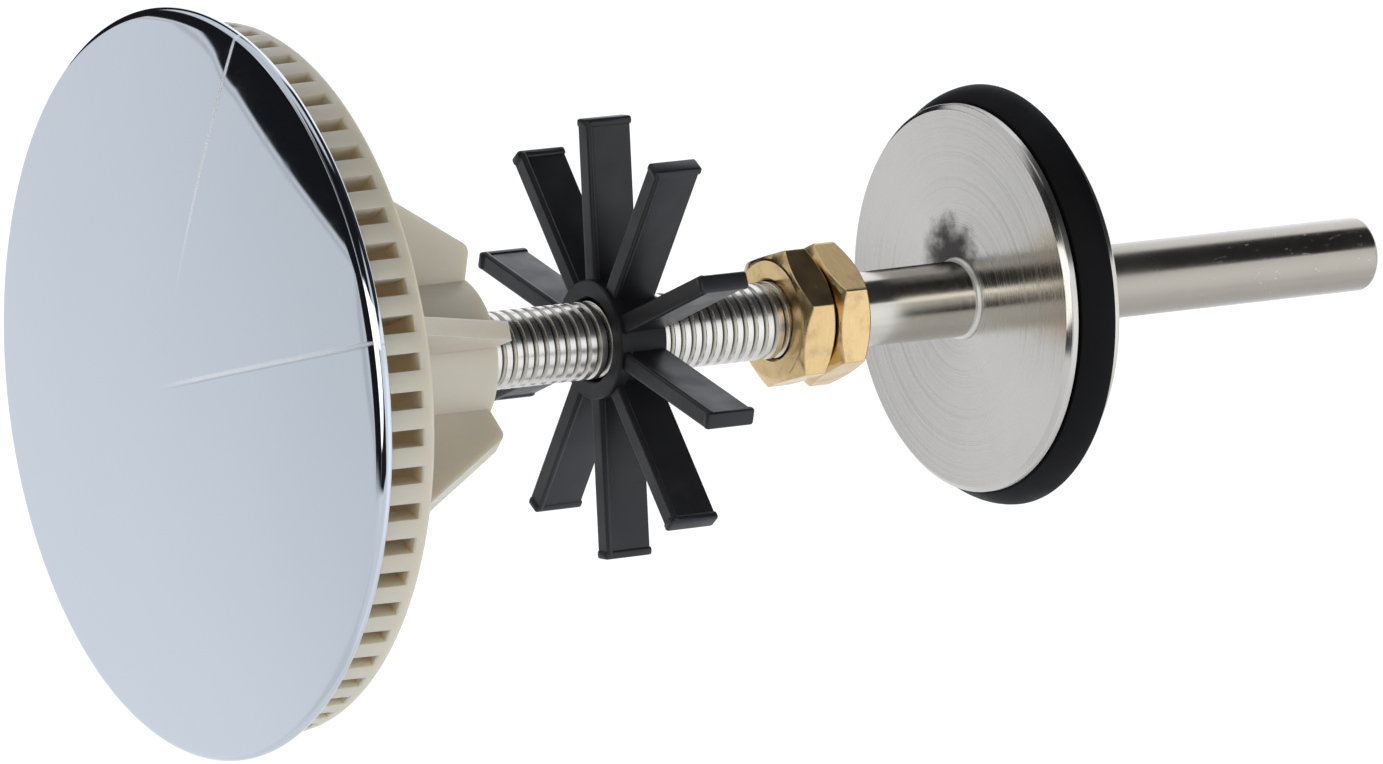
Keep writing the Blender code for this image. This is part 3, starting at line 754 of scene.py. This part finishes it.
def chrome_finish():
    """Mirror chrome with the two creases as fine, rougher and less metallic lines in a painted highlight
    colour, the lower one with a painted shade under it.
    """
    made = Finish("mirror chrome", roughness=0.05, metallic=1.0)
    cloud = made.noise(made.place, 45.0, detail=2.0)
    smudge = made.noise(made.place, 260.0, detail=4.0, roughness=0.65)
    lower_highlight, shade = lower_crease_painted_highlight_and_shade(made)
    over_rim = made.between(made.height, RIM_HEIGHT, RIM_HEIGHT + 0.1 * MM)
    # Painted highlight along both creases: a near-white, less metallic and rougher line
    line = made.product(made.calc('MAXIMUM', upper_crease_painted_highlight(made), lower_highlight), over_rim)
    tone = made.blend(shade, made.blend(cloud, *CHROME_TONES), CREASE_SHADE)
    made.set("Base Color", made.blend(line, tone, PAINTED_CREASE_HIGHLIGHT))
    made.set("Metallic", made.between(line, 0.0, 1.0, 1.0, 0.45))
    polish = made.between(smudge, 0.42, 0.78, 0.02, 0.045)
    made.set("Roughness", made.total(polish, made.product(line, 0.3)))
    made.relief(made.noise(made.place, 320.0, detail=1.0), 0.0003 * MM)
    return made.material


def nickel_finish():
    """Bright plating, dull and nicked below the valve, with painted shade in the thread's roots and a painted
    highlight on the bead at the disc.
    """
    made = Finish("nickel plate", roughness=0.16, metallic=1.0)
    cloud = made.noise(made.place, 160.0)
    drawn = made.noise(made.stretched(made.place, (2600.0, 2600.0, 130.0)), 1.0, detail=2.0)
    fleck = made.noise(made.stretched(made.place, (2300.0, 2300.0, 950.0)), 1.0, detail=6.0, roughness=0.75)
    lower = made.between(made.height, PLATE_LOW.z, PLATE_LOW.z - 2 * MM)
    shank = made.between(made.height, LOWER_NUT_LOW.z, LOWER_NUT_LOW.z - MM)
    # Painted shade in the thread's roots, kept off the plain shank
    root = made.between(made.radius, THREAD_RADIUS - 0.24 * MM, THREAD_RADIUS - 0.50 * MM)
    groove_shade = made.calc('SUBTRACT', root, shank)
    nicks = made.product(made.between(fleck, 0.615, 0.68), made.between(made.height, *NICKED_HEIGHTS))
    # Painted highlight on the bead at the disc: lighter and rougher than the shank
    collar_highlight = made.product(made.between(made.height, DISC_HIGH.z + 0.65 * MM, DISC_HIGH.z + 0.45 * MM),
                          made.between(made.height, DISC_HIGH.z - 0.1 * MM, DISC_HIGH.z))

    tone = made.blend(cloud, *THREAD_TONES)
    tone = made.blend(shank, tone, made.blend(cloud, *SHANK_TONES))
    tone = made.blend(lower, tone, made.blend(cloud, *LOWER_ROD_TONES))
    tone = made.blend(nicks, tone, NICK_TONE)
    tone = made.blend(collar_highlight, tone, COLLAR_PAINTED_HIGHLIGHT)
    made.set("Base Color", made.blend(groove_shade, tone, PAINTED_GROOVE_SHADE))

    dull = made.total(made.between(cloud, 0.3, 0.75, 0.13, 0.20),
                      made.between(made.height, 2 * MM, PLATE_LOW.z, 0.02, 0.14),
                      made.between(made.height, LOWER_NUT_LOW.z, UPPER_NUT_HIGH.z, 0.0, 0.08),
                      made.product(collar_highlight, 0.30), made.product(nicks, 0.08))
    upper = made.calc('SUBTRACT', 1.0, lower)
    made.set("Roughness", made.calc('SUBTRACT', dull, made.product(upper, 0.12)))
    made.relief(made.calc('SUBTRACT', made.product(drawn, 0.15), nicks), 0.006 * MM)
    return made.material


def turned_nickel_finish():
    """Fine rings from the lathe, with a painted dark reflection on the disc beside the rod."""
    made = Finish("turned nickel", roughness=0.26, metallic=1.0)
    outward = made.add('ShaderNodeCombineXYZ', {0: made.radius}).outputs[0]
    coarse = made.noise(outward, 1500.0, detail=2.0)
    fine = made.noise(outward, 7000.0, roughness=0.7)
    marks = made.total(made.product(coarse, 0.35), made.product(fine, 0.65))
    patch = made.noise(made.place, 220.0, detail=4.0, roughness=0.6)
    ragged = made.between(made.noise(made.place, 420.0, detail=4.0, roughness=0.6), 0.3, 0.7,
                          -PAINTED_REFLECTION_RAGGED, PAINTED_REFLECTION_RAGGED)
    # Painted dark reflection beside the rod, with a ragged edge
    off_painted_reflection = made.total(made.measure('DISTANCE', made.place, PAINTED_REFLECTION_PLACE), ragged)
    tone = made.blend(made.between(marks, 0.35, 0.65), *DISC_TONES)
    tone = made.blend(made.between(patch, 0.4, 0.8, 0.0, 0.3), tone, DISC_PATCH_TONE)
    made.set("Base Color", made.blend(made.between(off_painted_reflection, *PAINTED_REFLECTION_RADII, 0.0, 0.97), tone, PAINTED_REFLECTION_TONE))
    made.set("Roughness", made.between(marks, 0.35, 0.65, 0.13, 0.31))
    made.set("Anisotropic", 0.9)
    made.set("Anisotropic Rotation", 0.25)
    made.set("Tangent", made.add('ShaderNodeTangent', direction_type='RADIAL', axis='Z').outputs[0])
    made.relief(marks, 0.0006 * MM)
    return made.material


def brass_finish(name):
    made = Finish(name, roughness=0.3, metallic=1.0)
    tarnish = made.noise(made.place, 420.0, detail=5.0, roughness=0.62)
    grain = made.noise(made.stretched(made.place, (700.0, 700.0, 5200.0)), 1.0)
    tarnished = made.between(tarnish, 0.48, 0.74, 0.0, 0.38)
    made.set("Base Color", made.blend(tarnished, made.blend(grain, *BRASS_TONES), TARNISH_TONE))
    made.set("Roughness", made.between(tarnish, 0.3, 0.7, 0.155, 0.275))
    made.relief(grain, 0.004 * MM)
    return made.material


def ivory_finish():
    """Slightly translucent moulding, warmer in the depth of the slots, where painted shade stands in for shade
    and the warm light through the plastic.
    """
    made = Finish("ivory plastic", roughness=0.42)
    cloud = made.noise(made.place, 120.0)
    lip = CARRIER_RING + COMB_LIP
    # Painted warm shade on the flange inside the comb, below the lip
    cavity_shade = made.product(made.between(made.radius, COMB_RADIUS - 0.15 * MM, COMB_RADIUS - 1.3 * MM),
                          made.between(made.radius, FLANGE_INNER - 0.5 * MM, FLANGE_INNER + 0.5 * MM),
                          made.between(made.height, lip - 0.25 * MM, lip - 0.05 * MM))
    made.set("Base Color", made.blend(cavity_shade, made.blend(cloud, *IVORY_TONES), IVORY_PAINTED_CAVITY_SHADE))
    made.set("Subsurface Weight", 0.6)
    made.set("Subsurface Radius", IVORY_GLOW_DEPTHS)
    made.set("Subsurface Scale", 3.2 * MM)
    made.set("Roughness", made.between(made.noise(made.place, 900.0, detail=2.0), 0.3, 0.7, 0.38, 0.47))
    made.relief(made.noise(made.place, 2600.0, detail=2.0), 0.0025 * MM)
    return made.material


def black_plastic_finish():
    """Moulding with a fine grain, its sheen painted less bright in the star's middle as painted shade."""
    made = Finish("black plastic", roughness=0.40)
    flow = made.noise(made.place, 260.0)
    made.set("Base Color", made.blend(flow, *PLASTIC_TONES))
    made.set("Specular IOR Level", 0.40)
    # Painted shade: the sheen is dimmed towards the star's middle
    made.set("Specular Tint", made.blend(made.between(made.radius, STAR_TUBE, STAR_RADIUS * 0.7),
                                         *STAR_SHEEN_PAINTED_SHADE))
    made.set("Roughness", made.between(flow, 0.3, 0.7, 0.34, 0.46))
    made.relief(made.noise(made.place, 5200.0, detail=2.0), 0.003 * MM)
    return made.material


def rubber_finish():
    made = Finish("black rubber", roughness=0.56)
    dust = made.noise(made.place, 1500.0, detail=5.0, roughness=0.7)
    cloud = made.noise(made.place, 180.0, detail=2.0)
    dusty = made.between(dust, 0.66, 0.82, 0.0, 0.25)
    made.set("Base Color", made.blend(dusty, made.blend(cloud, *RUBBER_TONES), DUST_TONE))
    made.set("Specular IOR Level", 0.12)
    made.set("Roughness", made.between(cloud, 0.3, 0.7, 0.50, 0.62))
    made.relief(dust, 0.004 * MM)
    return made.material


# Studio light, by direction from the object. A pair of limits is where a part of it starts and ends

PALE_TENT = (0.811, 0.842, 0.920)
DARK_ROOM = (0.015, 0.015, 0.017)
LAMP_TONE = (1.0, 0.985, 0.96, 1.0)
WHITE = (1.0, 1.0, 1.0, 1.0)
PAPER_IN_MIRRORS = 0.35

TENT_DEPTH_LEAST = 0.05
TENT_SIDE_EDGE = (0.0896, 0.2264)
TENT_TOP_EDGE = (0.30, 0.8485)
TENT_CORNER_POWER = 1.133
TENT_SIDE_END = 0.233
TENT_CORNER_SOFTNESS = 0.06
HEM_START = (0.955, 0.966)
HEM_END = (0.985, 0.975)
HEM_DARKNESS = 0.30
ROOM_START = (0.990, 1.008)
BACKWARD = (-0.02, 0.10)
FRONTWARD = (0.10, -0.02)
BACK_LOW_END = (-0.38, -0.28)
BACK_RIGHT_ENDS = (0.92, 0.56)
BACK_RIGHT_RISE = (-0.05, 0.10)
BACK_RIGHT_SOFTNESS = (0.04, -0.04)
FRONT_LEFT_ENDS = (0.18, -0.52)
FRONT_LEFT_RISE = (0.05, 0.30)
FRONT_LEFT_SOFTNESS = (-0.03, 0.03)
DOWNWARD = (0.05, -0.05)
FRONT_SIDE_END = (0.90, 0.82)
FRONT_NEAR_END = (-0.88, -0.80)
LEFT_LEAN = 0.36
LEFT_END = (-0.335, -0.29)

# Brightness of the tent: where a change starts and ends, and the brightness at each
TENT_ACROSS = (-0.3, 0.3, 1.11, 0.89)
TENT_UPWARD = (0.4, 1.2, 1.03, 0.82)
TENT_NEARER = (0.1, -0.2, 1.0, 1.22)
TENT_FAR_LEFT = (-0.36, -0.60, 1.0, 0.86)
TENT_LOW_RIGHT = (0.0, 1.0, 1.0, 2.0)
LOW_FADE = (-0.2, -0.4)
RIGHT_FADE = (-0.1, 0.4)

KEY_LAMP = (-0.38, -0.75, -0.54)
KEY_EDGE = (0.86, 0.95)
KEY_GLOW = 0.30
OVERHEAD_LAMP = (0, -0.956, -0.29)
OVERHEAD_HALF_WIDTH = 0.24
OVERHEAD_HALF_LENGTH = 0.545
OVERHEAD_EDGE = (1.08, 0.92)
OVERHEAD_LOW_END = (0.0, 0.1)
OVERHEAD_GLOW = 2.0
PATCH_LEFT_END = (0.06, 0.085)
PATCH_RIGHT_END = (0.29, 0.26)
PATCH_FAR_END = (-0.25, -0.35)
PATCH_LOW_END = (0.08, 0.14)
STRIP_PLANE = (-0.64, 0.766, -0.062)
STRIP_OFFSET = 0.03
STRIP_EDGE = (0.045, 0.03)
STRIP_LEFT_END = (0.0, 0.1)
STRIP_LOW_END = (0.6, 0.7)
STRIP_GLOW = 1.4


class Sky(Graph):
    """The world's nodes, with the direction at hand, and its slopes to the side and up against its depth."""

    def __init__(self, tree):
        super().__init__(tree)
        self.way = self.add('ShaderNodeTexCoord').outputs["Generated"]
        self.x, self.y, self.z = self.add('ShaderNodeSeparateXYZ', {0: self.way}).outputs
        depth = self.calc('MAXIMUM', self.y, TENT_DEPTH_LEAST)
        self.top = self.calc('DIVIDE', self.z, depth)
        self.side = self.calc('DIVIDE', self.x, depth)

    def towards(self, direction):
        return self.measure('DOT_PRODUCT', self.way, Vector(direction).normalized())

    def past_edge(self, value, start, width):
        """How far a value lies past an edge, on the curve that rounds the tent's corner."""
        share = self.calc('DIVIDE', self.calc('SUBTRACT', value, start), width)
        return self.calc('POWER', self.calc('MAXIMUM', share, 0.0), TENT_CORNER_POWER)


def dark_behind(sky):
    """The room past the tent's upper right-hand corner, with a half dark hem along the corner's edge."""
    corner = sky.total(sky.past_edge(sky.side, *TENT_SIDE_EDGE), sky.past_edge(sky.top, *TENT_TOP_EDGE))
    corner = sky.calc('SMOOTH_MAX', corner, sky.calc('DIVIDE', sky.side, TENT_SIDE_END), TENT_CORNER_SOFTNESS)
    hem = sky.product(sky.between(corner, *HEM_START), sky.between(corner, *HEM_END), HEM_DARKNESS)
    room = sky.between(corner, *ROOM_START)
    right_end = sky.between(sky.z, *BACK_RIGHT_RISE, *BACK_RIGHT_ENDS)
    return sky.product(sky.total(hem, room), sky.between(sky.y, *BACKWARD), sky.between(sky.z, *BACK_LOW_END),
                       sky.between(sky.calc('SUBTRACT', sky.x, right_end), *BACK_RIGHT_SOFTNESS))


def dark_in_front(sky):
    """The room on the viewer's side, which ends towards the side and the viewer where it rises."""
    left_end = sky.between(sky.z, *FRONT_LEFT_RISE, *FRONT_LEFT_ENDS)
    low = sky.between(sky.z, *DOWNWARD)
    return sky.product(sky.between(sky.y, *FRONTWARD),
                       sky.between(sky.calc('SUBTRACT', sky.x, left_end), *FRONT_LEFT_SOFTNESS),
                       sky.calc('MAXIMUM', low, sky.between(sky.x, *FRONT_SIDE_END)),
                       sky.calc('MAXIMUM', low, sky.between(sky.y, *FRONT_NEAR_END)))


def darkness(sky):
    off_left = sky.calc('SUBTRACT', sky.x, sky.product(sky.y, LEFT_LEAN))
    return sky.product(sky.calc('MAXIMUM', dark_behind(sky), dark_in_front(sky)),
                       sky.between(off_left, *LEFT_END))


def tent_strength(sky):
    """More to the left, towards the viewer and low at the right, less at the top and the far left."""
    low_right = sky.product(sky.between(sky.z, *LOW_FADE), sky.between(sky.x, *RIGHT_FADE))
    return sky.product(sky.between(sky.x, *TENT_ACROSS), sky.between(sky.top, *TENT_UPWARD),
                       sky.between(sky.y, *TENT_NEARER), sky.between(low_right, *TENT_LOW_RIGHT),
                       sky.between(sky.x, *TENT_FAR_LEFT))


def lamp_strength(sky):
    """A broad key lamp, a long soft box in front, a small patch beside it and a thin strip over the rim."""
    key = sky.between(sky.towards(KEY_LAMP), *KEY_EDGE)
    across = sky.calc('DIVIDE', sky.x, OVERHEAD_HALF_WIDTH)
    along = sky.calc('DIVIDE', sky.towards(OVERHEAD_LAMP), OVERHEAD_HALF_LENGTH)
    spread = sky.total(sky.product(across, across), sky.product(along, along))
    overhead = sky.product(sky.between(spread, *OVERHEAD_EDGE), sky.between(sky.z, *OVERHEAD_LOW_END))
    patch = sky.product(sky.between(sky.x, *PATCH_LEFT_END), sky.between(sky.x, *PATCH_RIGHT_END),
                        sky.between(sky.y, *PATCH_FAR_END), sky.between(sky.z, *PATCH_LOW_END))
    off_strip = sky.calc('ABSOLUTE', sky.total(sky.towards(STRIP_PLANE), STRIP_OFFSET))
    strip = sky.product(sky.between(off_strip, *STRIP_EDGE), sky.between(sky.x, *STRIP_LEFT_END),
                        sky.between(sky.z, *STRIP_LOW_END))
    return sky.total(sky.product(key, KEY_GLOW),
                     sky.product(sky.calc('MAXIMUM', overhead, patch), OVERHEAD_GLOW),
                     sky.product(strip, STRIP_GLOW))


def studio_world():
    """A pale tent that opens to a dark room, with soft lamps, and white paper behind for the camera."""
    world = bpy.data.worlds.new("studio")
    bpy.context.scene.world = world
    world.use_nodes = True
    world.node_tree.nodes.clear()
    sky = Sky(world.node_tree)
    dark = darkness(sky)
    tent = sky.add('ShaderNodeBackground', {"Color": sky.blend(dark, PALE_TENT, DARK_ROOM),
                                            "Strength": tent_strength(sky)})
    lamps = sky.add('ShaderNodeBackground', {"Color": LAMP_TONE, "Strength": lamp_strength(sky)})
    lit = sky.add('ShaderNodeAddShader', {0: tent.outputs[0], 1: lamps.outputs[0]})
    white = sky.add('ShaderNodeBackground', {"Color": WHITE, "Strength": 1.0})
    rays = sky.add('ShaderNodeLightPath').outputs
    mirrored = sky.total(rays["Is Glossy Ray"], rays["Is Transmission Ray"])
    paper_share = sky.between(dark, 0.0, 1.0, PAPER_IN_MIRRORS, 0.0)
    seen = sky.total(rays["Is Camera Ray"], sky.product(mirrored, paper_share))
    mixed = sky.add('ShaderNodeMixShader', {0: seen, 1: lit.outputs[0], 2: white.outputs[0]})
    sky.add('ShaderNodeOutputWorld', {"Surface": mixed.outputs[0]})


# Floor and camera

FLOOR_RADIUS = 3.0
FLOOR_DROP = 0.2 * MM
FLOOR_TONE = (0.9, 0.9, 0.9, 1.0)
FLOOR_GLOW = 1.19
FLOOR_GLOW_SHARE = 0.84


def floor_piece():
    """A pale floor that shows to the camera as white paper and keeps the object's shadow."""
    bpy.ops.mesh.primitive_circle_add(vertices=96, radius=FLOOR_RADIUS, fill_type='NGON',
                                      location=(0, 0, CAD_BOX[0].z - FLOOR_DROP))
    floor = bpy.context.object
    floor.name = "floor"
    floor.visible_glossy = False
    floor.visible_diffuse = False
    floor.visible_transmission = False
    floor.visible_shadow = False
    material = bpy.data.materials.new("white paper")
    material.use_nodes = True
    material.node_tree.nodes.clear()
    graph = Graph(material.node_tree)
    paper = graph.add('ShaderNodeBsdfDiffuse', {"Color": FLOOR_TONE})
    white = graph.add('ShaderNodeEmission', {"Color": WHITE, "Strength": FLOOR_GLOW})
    mixed = graph.add('ShaderNodeMixShader', {0: FLOOR_GLOW_SHARE, 1: paper.outputs[0], 2: white.outputs[0]})
    graph.add('ShaderNodeOutputMaterial', {"Surface": mixed.outputs[0]})
    floor.data.materials.append(material)


def camera():
    data = bpy.data.cameras.new("camera")
    data.lens = CAMERA_LENS
    data.sensor_width = CAMERA_SENSOR
    data.sensor_fit = 'HORIZONTAL'
    data.clip_start, data.clip_end = CAMERA_CLIP
    obj = bpy.data.objects.new("camera", data)
    bpy.context.scene.collection.objects.link(obj)
    axes = Matrix((CAMERA_RIGHT, CAMERA_UP, CAMERA_BACK)).transposed()
    obj.matrix_world = Matrix.Translation(CAMERA_PLACE) @ axes.to_4x4()
    bpy.context.scene.camera = obj


# Assembly

def dress(piece, body, nodes, material):
    piece.data.materials.clear()
    piece.data.materials.append(material)
    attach(piece, body)
    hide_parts(*nodes)


nickel = nickel_finish()
nut_brass = brass_finish("brass of the nuts")
dress(cover_piece(), "cover", ["cover_cap"], chrome_finish())
dress(carrier_piece(), "cover", ["strainer_carrier"], ivory_finish())
for stem in stem_pieces():
    dress(stem, "stem", ["stem_rod"], nickel)
dress(disc_piece(), "stem", ["valve_disc"], turned_nickel_finish())
dress(seal_piece(), "stem", ["seal_washer"], rubber_finish())
dress(plate_piece(), "stem", ["seal_plate"], nickel)
dress(nut_piece("clamp_hexagon", CLAMP_NUT_LOW.z, CLAMP_NUT_HIGH.z, CLAMP_NUT_ANGLE),
      "stem", ["clamp_nut"], nickel)
dress(nut_piece("lower_hexagon", LOWER_NUT_LOW.z, LOWER_NUT_HIGH.z, LOWER_NUT_ANGLE),
      "lower_nut", ["lower_lock_nut"], nut_brass)
dress(nut_piece("upper_hexagon", UPPER_NUT_LOW.z, UPPER_NUT_HIGH.z, UPPER_NUT_ANGLE),
      "upper_nut", ["upper_lock_nut"], nut_brass)
dress(star_piece(), "star", ["guide_star"], black_plastic_finish())
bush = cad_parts["threaded_bush"]
bush.data.materials.clear()
bush.data.materials.append(brass_finish("brass of the bush"))

studio_world()
floor_piece()
camera()
bpy.context.scene.view_settings.view_transform = 'Standard'
